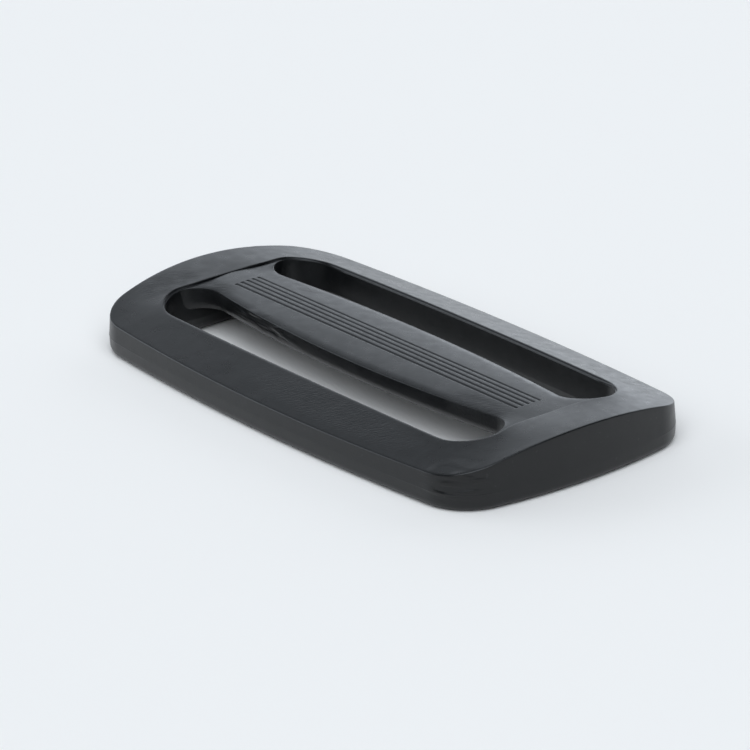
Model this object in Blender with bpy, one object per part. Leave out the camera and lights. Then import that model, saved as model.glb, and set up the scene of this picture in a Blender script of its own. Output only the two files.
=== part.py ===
"""A strap slider (tri-glide) for 50 mm webbing: a crowned outer frame and the bar across its middle.

The webbing comes up through one slot, passes over the grooved bar and goes down through the other.
The real slider is a single plastic moulding with no moving parts. Its two members are modelled as
two bodies: the frame is a closed ring, and the bar stops just short of the ring's end walls.

The frame stands on Z = 0 with its centre over the origin. X runs along the bar and Y across it.
"""
import math
from collections import namedtuple

import bmesh
import bpy

MM = 0.001

# An outline in plan: a rectangle with bowed sides and round corners, centred on the origin.
Outline = namedtuple("Outline", "half_length half_width end_radius side_radius corner_radius")

# The opening is 2 inches long, which takes 50 mm webbing. It is given at its upper lip.
OPENING = Outline(25.4 * MM, 10.7 * MM, 1000 * MM, 769 * MM, 3.8 * MM)
# The outside of the frame, given at the mould's parting line, where the frame is largest.
OUTSIDE = Outline(30.7 * MM, 16.2 * MM, 59.5 * MM, 269.4 * MM, 5.6 * MM)

# The frame's height in the middle, and how far its crowned top falls to the sides and to the ends.
CROWN_HEIGHT = 6.19 * MM
CROWN_DROP_TO_SIDES = 2.97 * MM
CROWN_DROP_TO_ENDS = 0.26 * MM

# The mould parts low on the walls, and every wall leans in from that line by the draft.
PARTING_HEIGHT = 1.8 * MM
DRAFT_ABOVE = 0.05 * MM
DRAFT_BELOW = 0.03 * MM
TOP_EDGE_RADIUS = 0.35 * MM
OUTER_BOTTOM_RADIUS = 0.85 * MM
INNER_BOTTOM_RADIUS = 1.2 * MM

# The bar is barrel-shaped in plan and crowned on top. It lies a little below the frame's crown, and
# its underside is clear of the ground.
BAR_HALF_WIDTH = 5.25 * MM
BAR_TAPER = 1.35 * MM
BAR_TOP = 5.68 * MM
BAR_CROWN_RADIUS = 20 * MM
BAR_UNDERSIDE = 2.9 * MM
BAR_UPPER_EDGE_RADIUS = 0.5 * MM
BAR_LOWER_EDGE_RADIUS = 1.0 * MM
BAR_END_GAP = 0.3 * MM
# Each end of the bar flares with a fillet that would run into the frame's end wall.
FLARE_RADIUS = 4.0 * MM
FLARE_START = OPENING.half_length - FLARE_RADIUS

# Fine grip grooves run along the top of the bar.
GROOVES_EACH_SIDE = 2
GROOVE_PITCH = 0.72 * MM
GROOVE_WIDTH = 0.4 * MM
GROOVE_DEPTH = 0.13 * MM
GROOVE_HALF_LENGTH = 22.1 * MM
GROOVE_RUNOUT = 0.15 * MM

# How many straight steps stand for each curve.
END_STEPS = 5
CORNER_STEPS = 8
SIDE_STEPS = 10
EDGE_STEPS = 2
BOTTOM_STEPS = 3
CROWN_STEPS = 5
BAR_SIDE_STEPS = 3
LOWER_EDGE_STEPS = 4
TAPER_STEPS = 10
FLARE_STEPS = 5

BLACK_FRAME = (0.0130, 0.0145, 0.0170, 1.0)
BLACK_BAR = (0.0150, 0.0165, 0.0190, 1.0)


def clear_scene():
    for item in list(bpy.data.objects):
        bpy.data.objects.remove(item, do_unlink=True)


def inset(outline, distance):
    """The outline moved inwards by the distance, or outwards when it is negative."""
    return Outline(*(measure - distance for measure in outline))


def corner_centre(outline):
    """The corner arc touches the end arc and the side arc from within, which fixes its centre."""
    end_centre_x = outline.half_length - outline.end_radius
    side_centre_y = outline.half_width - outline.side_radius
    to_end_centre = outline.end_radius - outline.corner_radius
    to_side_centre = outline.side_radius - outline.corner_radius
    apart = math.hypot(end_centre_x, side_centre_y)
    along = (to_end_centre ** 2 - to_side_centre ** 2 + apart ** 2) / (2 * apart)
    across = math.sqrt(to_end_centre ** 2 - along ** 2)
    unit_x = -end_centre_x / apart
    unit_y = side_centre_y / apart
    return end_centre_x + unit_x * along - unit_y * across, unit_y * along + unit_x * across


def arc(centre_x, centre_y, radius, start, end, steps):
    """Points along an arc, from its start up to but not including its end."""
    angles = [start + (end - start) * step / steps for step in range(steps)]
    return [(centre_x + radius * math.cos(a), centre_y + radius * math.sin(a)) for a in angles]


def outline_points(outline):
    """The outline's points once round, anticlockwise from the middle of the +X end."""
    corner_x, corner_y = corner_centre(outline)
    end_centre_x = outline.half_length - outline.end_radius
    side_centre_y = outline.half_width - outline.side_radius
    end_angle = math.atan2(corner_y, corner_x - end_centre_x)
    side_angle = math.atan2(corner_y - side_centre_y, corner_x)
    quarter = arc(end_centre_x, 0, outline.end_radius, 0, end_angle, END_STEPS)
    quarter += arc(corner_x, corner_y, outline.corner_radius, end_angle, side_angle, CORNER_STEPS)
    quarter += arc(0, side_centre_y, outline.side_radius, side_angle, math.pi / 2, SIDE_STEPS)
    next_quarter = [(0, outline.half_width)] + [(-x, y) for x, y in quarter[:0:-1]]
    half = quarter + next_quarter
    return half + [(-x, -y) for x, y in half]


def crown(x, y):
    """Height of the frame's crowned top."""
    to_sides = CROWN_DROP_TO_SIDES * (y / OUTSIDE.half_width) ** 2
    to_ends = CROWN_DROP_TO_ENDS * (x / OUTSIDE.half_length) ** 2
    return CROWN_HEIGHT - to_sides - to_ends


def quarter_round(radius, steps):
    """Pairs of distances from the two faces that a rounded edge joins, from the first to the second."""
    angles = [math.pi / 2 * step / steps for step in range(steps + 1)]
    return [(radius * (1 - math.cos(a)), radius * (1 - math.sin(a))) for a in angles]


def level_loop(outline, height):
    return [(x, y, height) for x, y in outline_points(outline)]


def crown_loop(points, drop=0.0):
    return [(x, y, crown(x, y) - drop) for x, y in points]


def between(outer, inner, fraction):
    """Points part of the way from each outer point to the inner point that matches it."""
    return [
        (ox + (ix - ox) * fraction, oy + (iy - oy) * fraction)
        for (ox, oy), (ix, iy) in zip(outer, inner)
    ]


def frame_loops():
    """Loops round the frame, in order up its outside, over its top and down its opening."""
    upper_outside = inset(OUTSIDE, DRAFT_ABOVE)
    lower_outside = inset(OUTSIDE, DRAFT_BELOW)
    lower_opening = inset(OPENING, DRAFT_ABOVE - DRAFT_BELOW)
    top_edge = quarter_round(TOP_EDGE_RADIUS, EDGE_STEPS)
    outer_bottom = quarter_round(OUTER_BOTTOM_RADIUS, BOTTOM_STEPS)
    inner_bottom = quarter_round(INNER_BOTTOM_RADIUS, BOTTOM_STEPS)

    loops = [level_loop(inset(lower_outside, aside), up) for aside, up in reversed(outer_bottom)]
    loops.append(level_loop(OUTSIDE, PARTING_HEIGHT))
    loops += [crown_loop(outline_points(inset(upper_outside, aside)), drop) for aside, drop in top_edge]

    top_outer = outline_points(inset(upper_outside, TOP_EDGE_RADIUS))
    top_inner = outline_points(inset(OPENING, -TOP_EDGE_RADIUS))
    for step in range(1, CROWN_STEPS):
        loops.append(crown_loop(between(top_outer, top_inner, step / CROWN_STEPS)))

    loops += [crown_loop(outline_points(inset(OPENING, -aside)), drop) for aside, drop in reversed(top_edge)]
    loops.append(level_loop(inset(OPENING, DRAFT_ABOVE), PARTING_HEIGHT))
    loops += [level_loop(inset(lower_opening, -aside), up) for aside, up in inner_bottom]
    return loops


def build_frame():
    builder = bmesh.new()
    rows = [[builder.verts.new(point) for point in loop] for loop in frame_loops()]
    for row, next_row in zip(rows, rows[1:] + rows[:1]):
        for here, after in zip(range(len(row)), list(range(1, len(row))) + [0]):
            builder.faces.new((row[here], row[after], next_row[after], next_row[here]))
    return builder


def bar_half_width(x):
    """Widest in the middle, narrowing in a shallow curve, then flared by the end fillet."""
    along = min(abs(x), FLARE_START)
    into_flare = abs(x) - along
    flare = FLARE_RADIUS - math.sqrt(FLARE_RADIUS ** 2 - into_flare ** 2)
    return BAR_HALF_WIDTH - BAR_TAPER * (along / FLARE_START) ** 2 + flare


def bar_top(y):
    return BAR_TOP - y ** 2 / (2 * BAR_CROWN_RADIUS)


def groove_profile(x):
    """The grooved half of the bar's top from its centre line outwards, as (y, depth) pairs."""
    depth = GROOVE_DEPTH if abs(x) <= GROOVE_HALF_LENGTH else 0.0
    profile = [(0.0, depth), (GROOVE_WIDTH / 2, 0.0)]
    for index in range(1, GROOVES_EACH_SIDE + 1):
        middle = index * GROOVE_PITCH
        profile += [(middle - GROOVE_WIDTH / 2, 0.0), (middle, depth), (middle + GROOVE_WIDTH / 2, 0.0)]
    return profile


def bar_section(x):
    """The bar's closed cross-section at x, clockwise as seen from the +X end."""
    half_width = bar_half_width(x)
    side = [(y, bar_top(y) - depth) for y, depth in groove_profile(x)]
    groove_zone = side[-1][0]
    crown_edge = half_width - BAR_UPPER_EDGE_RADIUS
    for step in range(1, BAR_SIDE_STEPS):
        y = groove_zone + (crown_edge - groove_zone) * step / BAR_SIDE_STEPS
        side.append((y, bar_top(y)))
    for aside, drop in reversed(quarter_round(BAR_UPPER_EDGE_RADIUS, EDGE_STEPS)):
        y = half_width - aside
        side.append((y, bar_top(y) - drop))
    for aside, up in quarter_round(BAR_LOWER_EDGE_RADIUS, LOWER_EDGE_STEPS):
        side.append((half_width - aside, BAR_UNDERSIDE + up))
    other_side = [(-y, z) for y, z in side[:0:-1]]
    return [(x, y, z) for y, z in side + other_side]


def bar_stations():
    """Places along X for the bar's cross-sections, closer together where it flares."""
    reach = OPENING.half_length - BAR_END_GAP
    flare_length = reach - FLARE_START
    half = [FLARE_START * step / TAPER_STEPS for step in range(1, TAPER_STEPS)]
    half += [GROOVE_HALF_LENGTH, GROOVE_HALF_LENGTH + GROOVE_RUNOUT]
    half += [FLARE_START + flare_length * math.sin(math.pi / 2 * step / FLARE_STEPS)
             for step in range(FLARE_STEPS + 1)]
    half.sort()
    return [-x for x in reversed(half)] + [0.0] + half


def build_centre_bar():
    builder = bmesh.new()
    rows = [[builder.verts.new(point) for point in bar_section(x)] for x in bar_stations()]
    for row, next_row in zip(rows, rows[1:]):
        for here, after in zip(range(len(row)), list(range(1, len(row))) + [0]):
            builder.faces.new((row[here], next_row[here], next_row[after], row[after]))
    builder.faces.new(rows[0])
    builder.faces.new(rows[-1][::-1])
    return builder


def moulded_plastic(name, colour, roughness):
    material = bpy.data.materials.new(name)
    material.use_nodes = True
    shader = material.node_tree.nodes["Principled BSDF"]
    shader.inputs["Base Color"].default_value = colour
    shader.inputs["Roughness"].default_value = roughness
    shader.inputs["Metallic"].default_value = 0.0
    return material


def add_object(name, builder, material):
    mesh = bpy.data.meshes.new(name)
    builder.to_mesh(mesh)
    builder.free()
    mesh.materials.append(material)
    mesh.shade_smooth()
    mesh.set_sharp_from_angle(angle=math.radians(35))
    item = bpy.data.objects.new(name, mesh)
    bpy.context.scene.collection.objects.link(item)
    return item


clear_scene()
add_object("frame", build_frame(), moulded_plastic("frame_plastic", BLACK_FRAME, 0.42))
add_object("centre_bar", build_centre_bar(), moulded_plastic("bar_plastic", BLACK_BAR, 0.38))
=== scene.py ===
"""The looks of a strap slider (tri-glide) for 50 mm webbing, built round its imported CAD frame.

One satin black moulding stands on a pale floor: the crowned frame, and the grooved bar that grows
out of its end walls. Both are lofted here at full fineness, with their rounded edges, the mould's
parting line and the grip grooves. All lengths are in metres, in the CAD model's frame.
"""

import math

import bmesh
import bpy
import numpy as np
from mathutils import Matrix, Vector


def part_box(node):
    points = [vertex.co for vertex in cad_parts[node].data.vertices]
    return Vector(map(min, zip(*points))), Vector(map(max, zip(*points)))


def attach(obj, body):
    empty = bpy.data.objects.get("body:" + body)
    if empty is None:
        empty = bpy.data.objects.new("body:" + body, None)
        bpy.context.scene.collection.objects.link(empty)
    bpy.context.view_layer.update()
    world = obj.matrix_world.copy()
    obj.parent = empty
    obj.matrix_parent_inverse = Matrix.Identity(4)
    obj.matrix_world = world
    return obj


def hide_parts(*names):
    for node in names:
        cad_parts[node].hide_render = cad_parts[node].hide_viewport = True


MM = 0.001

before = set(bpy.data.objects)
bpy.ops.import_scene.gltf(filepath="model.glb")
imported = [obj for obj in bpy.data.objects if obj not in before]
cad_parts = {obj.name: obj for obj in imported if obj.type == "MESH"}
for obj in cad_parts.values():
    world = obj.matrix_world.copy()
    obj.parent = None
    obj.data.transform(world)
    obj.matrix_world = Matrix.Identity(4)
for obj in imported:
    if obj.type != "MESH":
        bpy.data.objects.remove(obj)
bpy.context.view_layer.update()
frame_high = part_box("frame")[1]
bar_low, bar_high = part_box("centre_bar")

# Outlines in plan are (half_length, half_width, end_radius, side_radius, corner_radius).
OUTSIDE = np.array([frame_high.x, frame_high.y, 59.5 * MM, 269.4 * MM, 5.6 * MM])
# Each end of the opening steps in under its lip, which leaves a narrow ledge along the end wall.
LIP = np.array([25.5, 10.72, 1000.0, 769.0, 4.0]) * MM
HOLE = np.array([25.12, 10.7, 1000.0, 769.0, 3.75]) * MM
LIP_RADIUS = 0.38 * MM
LIP_RADIUS_AT_ENDS = 0.1 * MM
LEDGE_DROP = 0.2 * MM
# Across the ledge, from the lip to the hole: how far along it, and how far below its top.
LEDGE_PROFILE = (
    (0.0, 0.0),
    (0.5, 0.004 * MM),
    (0.85, 0.015 * MM),
    (0.96, 0.04 * MM),
    (1.0, 0.1 * MM),
)

# The frame's crowned top.
CROWN_HEIGHT = 6.19 * MM
CROWN_DROP_TO_SIDES = 2.97 * MM
CROWN_DROP_TO_ENDS = 0.26 * MM
# The top is very slightly hollow between its edges, as a thick moulding sinks when it cools.
SINK = 0.06 * MM

# Where the bar joins an end wall, the lip runs straight to the bar and dips almost to its top.
JUNCTION_HALF_WIDTH = 4.2 * MM
JUNCTION_BLEND = 3.0 * MM
JUNCTION_STRAIGHT_FROM = 4.0 * MM
JUNCTION_STRAIGHT_TO = 1.0 * MM
JUNCTION_DIP = 0.38 * MM
DIP_HALF_WIDTH = 5.0 * MM
# The opening's sides change into its ends over this stretch, measured back from the lip's end.
END_BLEND_FROM = 5.0 * MM
END_BLEND_TO = 1.5 * MM

# The parting line stands out at the corners as a fine bead, and the walls lean in from it.
PARTING_HEIGHT = 1.8 * MM
BEAD_DEPTH = 0.03 * MM
BEAD_HALF_WIDTH = 0.09 * MM
# Where the bead starts and would be full, on a scale that is 0 at the middles of the sides and ends,
# and 1 at the corners of the outline's box. The rounded corners reach about 0.8 on it.
BEAD_STARTS = 0.45
BEAD_IS_FULL = 0.95
DRAFT_ABOVE = 0.14 * MM
DRAFT_BELOW = 0.03 * MM
TOP_EDGE_RADIUS = 0.11 * MM
OUTER_BOTTOM_RADIUS = 0.85 * MM
INNER_BOTTOM_RADIUS = 1.3 * MM

# The bar narrows from its middle to its ends, and flares again where it joins the end walls.
BAR_HALF_WIDTH = 5.25 * MM
BAR_TAPER = 1.35 * MM
BAR_TOP = bar_high.z - 0.1 * MM
BAR_CROWN_RADIUS = 32 * MM
BAR_UNDERSIDE = bar_low.z
# Its top rolls off towards each side before the small edge radius.
BAR_ROLL_WIDTH = 0.9 * MM
BAR_ROLL_RADIUS = 4.5 * MM
BAR_UPPER_EDGE_RADIUS = 0.07 * MM
BAR_LOWER_EDGE_RADIUS = 1.05 * MM
FLARE_RADIUS = 3.15 * MM
FLARE_START = HOLE[0] - FLARE_RADIUS
# The bar's end rises to meet the lip almost flush in its middle, and a step below it to the sides.
BAR_RISE_FROM = FLARE_START - 0.5 * MM
BAR_RISE_TO = HOLE[0] - 0.3 * MM
FLUSH_HALF_WIDTH = 2.0 * MM
FLUSHNESS = 0.8
# The visible bar runs on into the end wall, so that it grows out of the frame.
BAR_ROOT = 0.8 * MM

GROOVES_EACH_SIDE = 2
GROOVE_PITCH = 0.72 * MM
GROOVE_WIDTH = 0.44 * MM
GROOVE_DEPTH = 0.08 * MM
GROOVE_HALF_LENGTH = 22.2 * MM
GROOVES_MIDDLE = -0.15 * MM
# A groove rises to the bar's top over this length.
GROOVE_END = 0.05 * MM

# How finely each stretch is divided.
END_STEPS = 24
CORNER_STEPS = 20
SIDE_STEPS = 40
EDGE_STEPS = 6
WALL_STEPS = 6
CROWN_STEPS = 24
BEAD_STEPS = 8
GROOVE_STEPS = 10
BAR_SIDE_STEPS = 30
BAR_LENGTH_STEPS = 60
FLARE_STEPS = 36
# The flare's first cross-section stands this far round it, in radians.
FLARE_FIRST_ANGLE = 0.02
# The cross-sections in the bar's root, as parts of the root's length.
ROOT_SECTIONS = (0.25, 0.5, 1.0)

# The plastic: near black, and satin. The roughness varies by the spread, and the walls, scuffs and
# scratches add to it.
PLASTIC_COLOUR = (0.0028, 0.0033, 0.0038)
PLASTIC_IOR = 1.47
ROUGHNESS = 0.3
ROUGHNESS_SPREAD = 0.03
WALL_DULLNESS = 0.04
SCUFF_DULLNESS = 0.12
SCRATCH_DULLNESS = 0.08
SPECK_BRIGHTNESS = 0.008
# How far the colour goes up and down with the mottle, and what a full streak of painted shade leaves of
# it.
SHADE_SPREAD = 0.1
STREAK_SHADE = 0.5

# Its textures: how many features there are in a millimetre, and how deep they are.
RIPPLE_SCALE = 0.22
MOTTLE_SCALE = 0.9
SPECK_SCALE = 2.6
GRAIN_SCALE = 3.2
FINE_GRAIN_SCALE = 11.0
RIPPLE_DEPTH = 0.04 * MM
GRAIN_DEPTH = 0.0045 * MM
FINE_GRAIN_DEPTH = 0.0006 * MM
SCUFF_DEPTH = 0.032 * MM
SCRATCH_DEPTH = 0.009 * MM
STREAK_DEPTH = 0.045 * MM

# Drawn-out features: how they are turned about Z, in degrees, and how many in a millimetre then
# along X, Y and Z.
SCUFF_TURN = -52
SCUFF_STRETCH = (1.2, 6.0, 5.0)
SCRATCH_TURNS = (-34, -52, 18)
SCRATCH_STRETCH = (0.22, 4.5, 0.5)
STREAK_TURN = 0
STREAK_STRETCH = (0.35, 0.35, 1.8)
# Noise lies mostly between 0.25 and 0.75. Between these values of it, each feature fades in.
MOTTLE_SHADE_RANGE = (0.25, 0.75)
MOTTLE_GLOSS_RANGE = (0.3, 0.7)
SCRATCH_RANGE = (0.66, 0.74)
STREAK_RANGE = (0.42, 0.62)
SPECK_RANGE = (0.80, 0.84)
# How much a face looks up or down where it is all wall, and where it is all top.
WALL_RANGE = (0.3, 0.95)
# A patch is at its full strength out to this part of its radii.
PATCH_CORE = 0.45

# The photographed view. The azimuth goes from straight in front of the near side round to the right.
CAMERA_AZIMUTH = math.radians(51.77)
CAMERA_ELEVATION = math.radians(22.10)
CAMERA_ROLL = math.radians(-1.30)
CAMERA_DISTANCE = 442.0 * MM
CAMERA_LEFTWARDS = 1.0 * MM
CAMERA_UPWARDS = 1.64 * MM
CAMERA_LENS = 212.84

FLOOR_HALF_SIDE = 3.0
FLOOR_COLOUR = (0.93, 0.9, 0.86, 1)
FLOOR_ROUGHNESS = 0.9

# The studio's soft panels: azimuth from +X and elevation of the middle, how far it reaches round that
# (all in degrees), and brightness. On this scale the camera stands at azimuth -38.
PANELS = (
    # Behind the slider, from its right round to its left: the row that its tops mirror.
    (95, 16, 30, 1.2),
    (122, 2, 20, 2.2),
    (149, 16, 22, 1.0),
    (175, 26, 44, 0.42),
    # Low at its left, for the near walls.
    (215, 0, 40, 2.4),
    # Above the camera and overhead, for the floor.
    (320, 50, 45, 2.6),
    (0, 90, 40, 0.7),
)
# A panel is at its full brightness out to this part of its reach.
PANEL_CORE = 0.35
STUDIO_TINT = (0.93, 1.0, 1.085, 1)


def smoothstep(low, high, value):
    t = np.clip((value - low) / (high - low), 0.0, 1.0)
    return t * t * (3 - 2 * t)


def inset(outline, distance):
    """The outline moved inwards by the distance, or outwards when it is negative."""
    return outline - distance


def corner_centre(outline):
    """The corner arc touches the end arc and the side arc from within, which fixes its centre."""
    half_length, half_width, end_radius, side_radius, corner_radius = outline
    end_centre_x = half_length - end_radius
    side_centre_y = half_width - side_radius
    to_end_centre = end_radius - corner_radius
    to_side_centre = side_radius - corner_radius
    apart = math.hypot(end_centre_x, side_centre_y)
    along = (to_end_centre ** 2 - to_side_centre ** 2 + apart ** 2) / (2 * apart)
    across = math.sqrt(to_end_centre ** 2 - along ** 2)
    unit_x = -end_centre_x / apart
    unit_y = side_centre_y / apart
    return end_centre_x + unit_x * along - unit_y * across, unit_y * along + unit_x * across


def arc(centre_x, centre_y, radius, start, end, steps):
    """Points along an arc, from its start up to but not including its end."""
    angles = start + (end - start) * np.arange(steps) / steps
    return np.stack([centre_x + radius * np.cos(angles), centre_y + radius * np.sin(angles)], axis=1)


def outline_points(outline):
    """The outline's points once round, anticlockwise from the middle of the +X end."""
    half_length, half_width, end_radius, side_radius, corner_radius = outline
    corner_x, corner_y = corner_centre(outline)
    end_centre_x = half_length - end_radius
    side_centre_y = half_width - side_radius
    end_angle = math.atan2(corner_y, corner_x - end_centre_x)
    side_angle = math.atan2(corner_y - side_centre_y, corner_x)
    quarter = np.concatenate([
        arc(end_centre_x, 0, end_radius, 0, end_angle, END_STEPS),
        arc(corner_x, corner_y, corner_radius, end_angle, side_angle, CORNER_STEPS),
        arc(0, side_centre_y, side_radius, side_angle, math.pi / 2, SIDE_STEPS),
    ])
    next_quarter = np.concatenate([[[0, half_width]], quarter[:0:-1] * [-1, 1]])
    half = np.concatenate([quarter, next_quarter])
    return np.concatenate([half, -half])


def lip_points(outline):
    """The opening's lip: the outline, with its ends brought in where the bar joins them."""
    points = outline_points(outline)
    reach = np.abs(points)
    near_bar = 1 - smoothstep(JUNCTION_HALF_WIDTH, JUNCTION_HALF_WIDTH + JUNCTION_BLEND, reach[:, 1])
    at_end = smoothstep(LIP[0] - JUNCTION_STRAIGHT_FROM, LIP[0] - JUNCTION_STRAIGHT_TO, reach[:, 0])
    points[:, 0] -= np.sign(points[:, 0]) * (LIP[0] - HOLE[0]) * near_bar * at_end
    return points


def crown(x, y):
    """Height of the frame's crowned top."""
    to_sides = CROWN_DROP_TO_SIDES * (y / OUTSIDE[1]) ** 2
    to_ends = CROWN_DROP_TO_ENDS * (x / OUTSIDE[0]) ** 2
    to_outside = np.clip((np.abs(x) - HOLE[0]) / (OUTSIDE[0] - HOLE[0]), 0, 1)
    dip = JUNCTION_DIP * np.exp(-(y / DIP_HALF_WIDTH) ** 2) * (1 - to_outside) ** 2
    return CROWN_HEIGHT - to_sides - to_ends - dip


def quarter_round(radius, steps):
    """Pairs of distances from the two faces that a rounded edge joins, from the first to the second."""
    angles = np.linspace(0, math.pi / 2, steps + 1)
    return np.stack([radius * (1 - np.cos(angles)), radius * (1 - np.sin(angles))], axis=1)


def level_loop(points, height):
    return np.column_stack([points, np.full(len(points), height)])


def crown_loop(points, drop=0.0):
    return np.column_stack([points, crown(points[:, 0], points[:, 1]) - drop])


def bead_loops(outline, outward):
    """The parting line's bead up a wall. It fades where the walls are straight."""
    points = outline_points(outline)
    out_points = outline_points(inset(outline, -outward))
    towards_corner = np.abs(points[:, :1] / outline[0] * points[:, 1:] / outline[1])
    strength = smoothstep(BEAD_STARTS, BEAD_IS_FULL, towards_corner)
    loops = []
    for across in np.linspace(-1, 1, BEAD_STEPS + 1):
        out = (1 + math.cos(math.pi * across)) / 2 * strength
        height = PARTING_HEIGHT + BEAD_HALF_WIDTH * across
        loops.append(level_loop(points + (out_points - points) * out, height))
    return loops


def wall_loops(start, end):
    """Loops between two loops, to carry a wall evenly from one to the other."""
    fractions = np.linspace(0, 1, WALL_STEPS + 1)[1:-1]
    return [start + (end - start) * fraction for fraction in fractions]


def near_opening_end(x):
    """0 along the opening's sides, 1 at its ends, and a smooth change between them."""
    return smoothstep(LIP[0] - END_BLEND_FROM, LIP[0] - END_BLEND_TO, np.abs(x))


def lip_edge_loops():
    """The rounded edge from the crowned top down into the opening, finer at the opening's ends."""
    lip = lip_points(LIP)
    outside_lip = lip_points(inset(LIP, -LIP_RADIUS))
    size = 1 + (LIP_RADIUS_AT_ENDS / LIP_RADIUS - 1) * near_opening_end(lip[:, :1])
    loops = []
    for aside, drop in quarter_round(LIP_RADIUS, EDGE_STEPS)[::-1]:
        points = lip + (outside_lip - lip) * size * (aside / LIP_RADIUS)
        loops.append(crown_loop(points, drop * size[:, 0]))
    return loops


def ledge_loops():
    """Down from the lip and across the ledge under it to the upper edge of the hole."""
    lip = lip_points(LIP)
    hole = outline_points(HOLE)
    top_of_ledge = LIP_RADIUS + (LEDGE_DROP - LIP_RADIUS) * near_opening_end(lip[:, 0])
    loops = []
    for along, below in LEDGE_PROFILE:
        loops.append(crown_loop(lip + (hole - lip) * along, top_of_ledge + below))
    return loops


def frame_loops():
    """Loops round the frame, in order up its outside, over its top and down its opening."""
    wall = inset(OUTSIDE, BEAD_DEPTH)
    lower_outside = inset(wall, DRAFT_BELOW)
    upper_outside = inset(wall, DRAFT_ABOVE)

    loops = []
    for aside, up in quarter_round(OUTER_BOTTOM_RADIUS, EDGE_STEPS)[::-1]:
        loops.append(level_loop(outline_points(inset(lower_outside, aside)), up))
    loops += bead_loops(wall, BEAD_DEPTH)
    loops += wall_loops(loops[-1], crown_loop(outline_points(upper_outside), TOP_EDGE_RADIUS))
    for aside, drop in quarter_round(TOP_EDGE_RADIUS, EDGE_STEPS):
        loops.append(crown_loop(outline_points(inset(upper_outside, aside)), drop))

    top_outer = outline_points(inset(upper_outside, TOP_EDGE_RADIUS))
    lip_edge = lip_edge_loops()
    top_inner = lip_edge[0][:, :2]
    for fraction in np.linspace(0, 1, CROWN_STEPS + 1)[1:-1]:
        hollow = SINK * (1 - (2 * fraction - 1) ** 2)
        loops.append(crown_loop(top_outer + (top_inner - top_outer) * fraction, hollow))

    loops += lip_edge
    loops += ledge_loops()
    inner_bead = bead_loops(inset(HOLE, DRAFT_ABOVE), -BEAD_DEPTH)
    loops += wall_loops(loops[-1], inner_bead[-1])
    loops += inner_bead[::-1]
    for aside, up in quarter_round(INNER_BOTTOM_RADIUS, 2 * EDGE_STEPS):
        loops.append(level_loop(outline_points(inset(HOLE, -aside)), up))
    return loops


def loft(name, rows, closed):
    """A skin through rows of points. A closed one joins its last row to its first, others get caps."""
    builder = bmesh.new()
    rings = [[builder.verts.new(point) for point in row] for row in rows]
    following = rings[1:] + rings[:1] if closed else rings[1:]
    for ring, next_ring in zip(rings, following):
        for here in range(len(ring)):
            after = (here + 1) % len(ring)
            builder.faces.new((ring[here], ring[after], next_ring[after], next_ring[here]))
    if not closed:
        builder.faces.new(rings[0][::-1])
        builder.faces.new(rings[-1])
    bmesh.ops.recalc_face_normals(builder, faces=builder.faces)
    mesh = bpy.data.meshes.new(name)
    builder.to_mesh(mesh)
    builder.free()
    mesh.shade_smooth()
    piece = bpy.data.objects.new(name, mesh)
    bpy.context.scene.collection.objects.link(piece)
    return piece


def bar_half_width(x):
    """Widest in the middle, narrowing in a shallow curve, then flared by the end fillet."""
    along = min(abs(x), FLARE_START)
    into_flare = min(abs(x) - along, FLARE_RADIUS)
    flare = FLARE_RADIUS - math.sqrt(FLARE_RADIUS ** 2 - into_flare ** 2)
    return BAR_HALF_WIDTH - BAR_TAPER * (along / FLARE_START) ** 2 + flare


def bar_top(x, y):
    """Height of the bar's crowned top, which flattens out to the sides where the bar flares."""
    into_roll = max(0.0, abs(y) - bar_half_width(x) + BAR_ROLL_WIDTH)
    height = BAR_TOP - y ** 2 / (2 * BAR_CROWN_RADIUS) - into_roll ** 2 / (2 * BAR_ROLL_RADIUS)
    step_down = 1 - FLUSHNESS * math.exp(-(y / FLUSH_HALF_WIDTH) ** 2)
    shelf = crown(HOLE[0], y) - LEDGE_DROP * step_down
    at_end = smoothstep(BAR_RISE_FROM, BAR_RISE_TO, abs(x))
    return height + (max(height, shelf) - height) * at_end


def groove_depth(x, y):
    """How deep a groove is at this place: a rounded valley, which ends bluntly."""
    across_set = y - GROOVES_MIDDLE
    nearest = round(across_set / GROOVE_PITCH)
    if abs(nearest) > GROOVES_EACH_SIDE or abs(x) > GROOVE_HALF_LENGTH:
        return 0.0
    across = abs(across_set - nearest * GROOVE_PITCH) / (GROOVE_WIDTH / 2)
    return GROOVE_DEPTH * (1 + math.cos(math.pi * min(across, 1.0))) / 2


def bar_section(x):
    """The bar's closed cross-section at x, from its -Y upper edge over the top and back underneath."""
    half_width = bar_half_width(x)
    shoulder = half_width - BAR_UPPER_EDGE_RADIUS
    groove_zone = (GROOVES_EACH_SIDE + 0.5) * GROOVE_PITCH
    groove_steps = (2 * GROOVES_EACH_SIDE + 1) * GROOVE_STEPS
    grooved = np.linspace(-groove_zone, groove_zone, groove_steps + 1) + GROOVES_MIDDLE
    near_side = np.linspace(-shoulder, grooved[0], BAR_SIDE_STEPS)[:-1]
    far_side = np.linspace(grooved[-1], shoulder, BAR_SIDE_STEPS)[1:]
    across = [*near_side, *grooved, *far_side]
    section = [(y, bar_top(x, y) - groove_depth(x, y)) for y in across]

    edge = []
    for aside, drop in quarter_round(BAR_UPPER_EDGE_RADIUS, EDGE_STEPS)[::-1][1:]:
        y = half_width - aside
        edge.append((y, bar_top(x, y) - drop))
    for aside, up in quarter_round(BAR_LOWER_EDGE_RADIUS, 2 * EDGE_STEPS):
        edge.append((half_width - aside, BAR_UNDERSIDE + up))
    section += edge + [(-y, z) for y, z in edge[::-1]]
    return [(x, y, z) for y, z in section]


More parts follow.
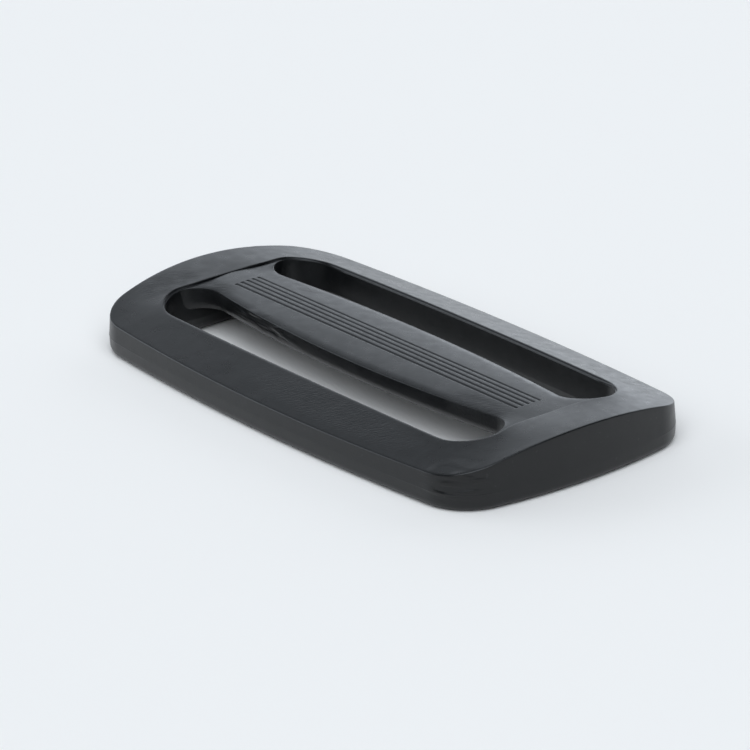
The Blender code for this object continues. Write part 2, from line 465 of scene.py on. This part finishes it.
def bar_stations():
    """Places along X for the bar's cross-sections, closer together at the groove ends and flares."""
    half = list(np.linspace(0, FLARE_START, BAR_LENGTH_STEPS))
    half += [GROOVE_HALF_LENGTH, GROOVE_HALF_LENGTH + GROOVE_END]
    flare_angles = np.linspace(FLARE_FIRST_ANGLE, math.pi / 2, FLARE_STEPS)
    half += list(FLARE_START + FLARE_RADIUS * np.sin(flare_angles))
    half += [HOLE[0] + BAR_ROOT * part for part in ROOT_SECTIONS]
    half.sort()
    return [-x for x in half[:0:-1]] + half


def make_camera():
    """The photographed view: from the near right corner, well above the floor, through a long lens."""
    back = Vector((
        math.sin(CAMERA_AZIMUTH) * math.cos(CAMERA_ELEVATION),
        -math.cos(CAMERA_AZIMUTH) * math.cos(CAMERA_ELEVATION),
        math.sin(CAMERA_ELEVATION),
    ))
    level_right = (-back).cross(Vector((0, 0, 1))).normalized()
    level_up = level_right.cross(-back)
    right = level_right * math.cos(CAMERA_ROLL) + level_up * math.sin(CAMERA_ROLL)
    up = level_up * math.cos(CAMERA_ROLL) - level_right * math.sin(CAMERA_ROLL)
    place = back * CAMERA_DISTANCE - right * CAMERA_LEFTWARDS + up * CAMERA_UPWARDS
    facing = Matrix((right, up, back)).transposed().to_4x4()

    camera_data = bpy.data.cameras.new("camera")
    camera_data.lens = CAMERA_LENS
    camera_data.sensor_width = 36.0
    camera_data.clip_start = 0.01
    camera_data.clip_end = 20.0
    camera = bpy.data.objects.new("camera", camera_data)
    camera.matrix_world = Matrix.Translation(place) @ facing
    bpy.context.scene.collection.objects.link(camera)
    bpy.context.scene.camera = camera


class Graph:
    """Short calls that build a material's nodes. Places are in millimetres."""

    def __init__(self, name):
        self.material = bpy.data.materials.new(name)
        self.material.use_nodes = True
        self.tree = self.material.node_tree
        self.shader = self.tree.nodes["Principled BSDF"]
        coordinates = self.tree.nodes.new("ShaderNodeTexCoord")
        self.place = self.vector_maths("MULTIPLY", coordinates.outputs["Object"], (1 / MM,) * 3)

    def feed(self, socket, value):
        if isinstance(value, bpy.types.NodeSocket):
            self.tree.links.new(value, socket)
        else:
            socket.default_value = value

    def vector_maths(self, operation, first, second):
        """Vector maths, which gives a number for a distance or a dot product."""
        node = self.tree.nodes.new("ShaderNodeVectorMath")
        node.operation = operation
        self.feed(node.inputs[0], first)
        self.feed(node.inputs[1], second)
        gives_number = operation in ("DISTANCE", "DOT_PRODUCT")
        return node.outputs["Value" if gives_number else "Vector"]

    def maths(self, operation, first, second=0.0):
        """Maths on plain numbers."""
        node = self.tree.nodes.new("ShaderNodeMath")
        node.operation = operation
        self.feed(node.inputs[0], first)
        self.feed(node.inputs[1], second)
        return node.outputs[0]

    def turned(self, degrees, scale):
        """The place, turned about Z and then scaled."""
        node = self.tree.nodes.new("ShaderNodeMapping")
        node.inputs["Rotation"].default_value = (0, 0, math.radians(degrees))
        self.feed(node.inputs["Vector"], self.place)
        return self.vector_maths("MULTIPLY", node.outputs["Vector"], scale)

    def noise(self, scale, detail, place=None):
        """Noise with this many features in a unit of the place."""
        node = self.tree.nodes.new("ShaderNodeTexNoise")
        node.inputs["Scale"].default_value = scale
        node.inputs["Detail"].default_value = detail
        self.feed(node.inputs["Vector"], place or self.place)
        return node.outputs["Fac"]

    def ease(self, value, low, high, start=0.0, end=1.0):
        """A smooth change from the start to the end while the value goes from low to high."""
        node = self.tree.nodes.new("ShaderNodeMapRange")
        node.interpolation_type = "SMOOTHSTEP"
        self.feed(node.inputs["Value"], value)
        node.inputs["From Min"].default_value = low
        node.inputs["From Max"].default_value = high
        node.inputs["To Min"].default_value = start
        node.inputs["To Max"].default_value = end
        return node.outputs["Result"]

    def patch(self, centre, radii):
        """A soft oval patch, 1 in its middle and 0 outside."""
        shrunk = self.vector_maths("DIVIDE", self.place, radii)
        shrunk_centre = tuple(middle / radius for middle, radius in zip(centre, radii))
        distance = self.vector_maths("DISTANCE", shrunk, shrunk_centre)
        return self.ease(distance, PATCH_CORE, 1.0, 1.0, 0.0)

    def patches(self, ovals):
        return self.total([self.patch(centre, radii) for centre, radii in ovals])

    def bump(self, height, depth, normal=None):
        """The shading normal of a relief: the height times the depth, over another bump or alone."""
        node = self.tree.nodes.new("ShaderNodeBump")
        node.inputs["Strength"].default_value = 1.0
        node.inputs["Distance"].default_value = depth
        self.feed(node.inputs["Height"], height)
        if normal:
            self.feed(node.inputs["Normal"], normal)
        return node.outputs["Normal"]

    def total(self, values):
        result = values[0]
        for value in values[1:]:
            result = self.maths("ADD", result, value)
        return result


def plastic(name, scuffed, scratched, streaked):
    """Satin black moulded plastic.

    It has a fine moulded grain over slow sink ripples, and uneven gloss. Each list holds patches as
    (centre, radii) in mm: scuffed ones are rubbed rough, scratched ones carry fine scratches, and
    streaked ones carry shallow dents and painted shade, which darkens their colour in streaks.
    """
    graph = Graph(name)
    mottle = graph.noise(MOTTLE_SCALE, detail=3.0)
    shade = graph.ease(mottle, *MOTTLE_SHADE_RANGE, 1 - SHADE_SPREAD, 1 + SHADE_SPREAD)
    glossiest = ROUGHNESS - ROUGHNESS_SPREAD
    dullest = ROUGHNESS + ROUGHNESS_SPREAD
    roughness = [graph.ease(mottle, *MOTTLE_GLOSS_RANGE, glossiest, dullest)]
    normal = graph.bump(graph.noise(RIPPLE_SCALE, detail=2.0), RIPPLE_DEPTH)
    normal = graph.bump(graph.noise(GRAIN_SCALE, detail=1.0), GRAIN_DEPTH, normal)
    normal = graph.bump(graph.noise(FINE_GRAIN_SCALE, detail=1.0), FINE_GRAIN_DEPTH, normal)

    if scuffed:
        rubbed = graph.patches(scuffed)
        rubbing = graph.noise(1.0, detail=3.0, place=graph.turned(SCUFF_TURN, SCUFF_STRETCH))
        normal = graph.bump(graph.maths("MULTIPLY", rubbing, rubbed), SCUFF_DEPTH, normal)
        roughness.append(graph.maths("MULTIPLY", rubbed, SCUFF_DULLNESS))

    if scratched:
        lines = []
        for turn in SCRATCH_TURNS:
            drawn_out = graph.noise(1.0, detail=1.0, place=graph.turned(turn, SCRATCH_STRETCH))
            lines.append(graph.ease(drawn_out, *SCRATCH_RANGE))
        scratches = graph.maths("MULTIPLY", graph.total(lines), graph.patches(scratched))
        normal = graph.bump(graph.maths("MULTIPLY", scratches, -1.0), SCRATCH_DEPTH, normal)
        roughness.append(graph.maths("MULTIPLY", scratches, SCRATCH_DULLNESS))

    if streaked:
        # Streaks: shallow dents in the surface, and painted shade that darkens the colour along them in
        # place of darker streaks in the reflection.
        streak_noise = graph.noise(1.0, detail=0.5, place=graph.turned(STREAK_TURN, STREAK_STRETCH))
        streak_dents_and_shade = graph.maths("MULTIPLY", graph.ease(streak_noise, *STREAK_RANGE), graph.patches(streaked))
        normal = graph.bump(streak_dents_and_shade, STREAK_DEPTH, normal)
        # Painted shade: the colour is darkened along the streaks.
        shade = graph.maths("MULTIPLY", shade, graph.ease(streak_dents_and_shade, 0.0, 1.0, 1.0, STREAK_SHADE))

    # The walls, which the mould's polish reached less, are duller than the top.
    geometry = graph.tree.nodes.new("ShaderNodeNewGeometry")
    upward = graph.vector_maths("DOT_PRODUCT", geometry.outputs["Normal"], (0, 0, 1))
    level = graph.maths("ABSOLUTE", upward)
    roughness.append(graph.ease(level, *WALL_RANGE, WALL_DULLNESS, 0.0))

    shaded = graph.vector_maths("MULTIPLY", PLASTIC_COLOUR, shade)
    specks = graph.ease(graph.noise(SPECK_SCALE, detail=0.0), *SPECK_RANGE, 0.0, SPECK_BRIGHTNESS)
    colour = graph.vector_maths("ADD", shaded, specks)
    graph.feed(graph.shader.inputs["Base Color"], colour)
    graph.feed(graph.shader.inputs["Roughness"], graph.total(roughness))
    graph.feed(graph.shader.inputs["Normal"], normal)
    graph.shader.inputs["IOR"].default_value = PLASTIC_IOR
    return graph.material


def frame_plastic():
    return plastic(
        "frame_plastic",
        scuffed=[((8.0, -13.0, 4.3), (16.0, 3.0, 2.0)), ((-27.5, -6.0, 5.2), (3.0, 5.0, 2.0))],
        scratched=[((21.0, 13.3, 4.3), (9.0, 2.6, 2.0)), ((-23.0, 13.0, 4.3), (5.0, 2.6, 2.0))],
        # Painted shade: a darker streak halfway up the near wall by the right corner, with shallow
        # dents.
        streaked=[((28.0, -14.5, 3.0), (5.0, 4.0, 3.0))],
    )


def bar_plastic():
    return plastic(
        "bar_plastic",
        scuffed=[((-23.0, -4.2, 5.2), (3.6, 3.0, 2.5)), ((19.0, -3.6, 5.2), (6.0, 2.6, 2.0))],
        scratched=[((-18.5, 3.4, 5.3), (4.5, 2.0, 2.0))],
        # Painted shade: a darker streak along the bar's near side, with shallow dents.
        streaked=[((-15.0, -5.0, 4.0), (9.0, 1.5, 2.5))],
    )


def soft_panel(tree, direction, azimuth, elevation, reach, strength):
    """One panel's brightness in a direction: full over its core, and fading out to its reach."""
    level = math.cos(math.radians(elevation))
    toward = tree.nodes.new("ShaderNodeVectorMath")
    toward.operation = "DOT_PRODUCT"
    toward.inputs[1].default_value = (
        math.cos(math.radians(azimuth)) * level,
        math.sin(math.radians(azimuth)) * level,
        math.sin(math.radians(elevation)),
    )
    tree.links.new(direction, toward.inputs[0])
    glow = tree.nodes.new("ShaderNodeMapRange")
    glow.interpolation_type = "SMOOTHSTEP"
    glow.inputs["From Min"].default_value = math.cos(math.radians(reach))
    glow.inputs["From Max"].default_value = math.cos(math.radians(reach * PANEL_CORE))
    glow.inputs["To Min"].default_value = 0.0
    glow.inputs["To Max"].default_value = strength
    tree.links.new(toward.outputs["Value"], glow.inputs["Value"])
    return glow.outputs["Result"]


def make_world():
    """A dark studio with large soft panels round it, which black plastic mostly just reflects."""
    world = bpy.data.worlds.new("studio")
    world.use_nodes = True
    tree = world.node_tree
    direction = tree.nodes.new("ShaderNodeTexCoord").outputs["Generated"]
    glows = [soft_panel(tree, direction, *panel) for panel in PANELS]
    brightness = glows[0]
    for glow in glows[1:]:
        both = tree.nodes.new("ShaderNodeMath")
        both.operation = "ADD"
        tree.links.new(brightness, both.inputs[0])
        tree.links.new(glow, both.inputs[1])
        brightness = both.outputs[0]
    background = tree.nodes["Background"]
    background.inputs["Color"].default_value = STUDIO_TINT
    tree.links.new(brightness, background.inputs["Strength"])
    bpy.context.scene.world = world


def make_floor():
    near, far = -FLOOR_HALF_SIDE, FLOOR_HALF_SIDE
    corners = [(near, near, 0), (far, near, 0), (far, far, 0), (near, far, 0)]
    mesh = bpy.data.meshes.new("floor")
    mesh.from_pydata(corners, [], [(0, 1, 2, 3)])
    floor = bpy.data.objects.new("floor", mesh)
    material = bpy.data.materials.new("pale_floor")
    material.use_nodes = True
    shader = material.node_tree.nodes["Principled BSDF"]
    shader.inputs["Base Color"].default_value = FLOOR_COLOUR
    shader.inputs["Roughness"].default_value = FLOOR_ROUGHNESS
    mesh.materials.append(material)
    bpy.context.scene.collection.objects.link(floor)


make_camera()
outer_frame = loft("moulded_frame", frame_loops(), closed=True)
outer_frame.data.materials.append(frame_plastic())
bar = loft("grooved_bar", [bar_section(x) for x in bar_stations()], closed=False)
bar.data.materials.append(bar_plastic())
for piece, node, slot in ((outer_frame, "frame", "frame_plastic"), (bar, "centre_bar", "bar_plastic")):
    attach(piece, "root")
    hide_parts(node)
make_floor()
make_world()
bpy.context.scene.view_settings.view_transform = "Standard"
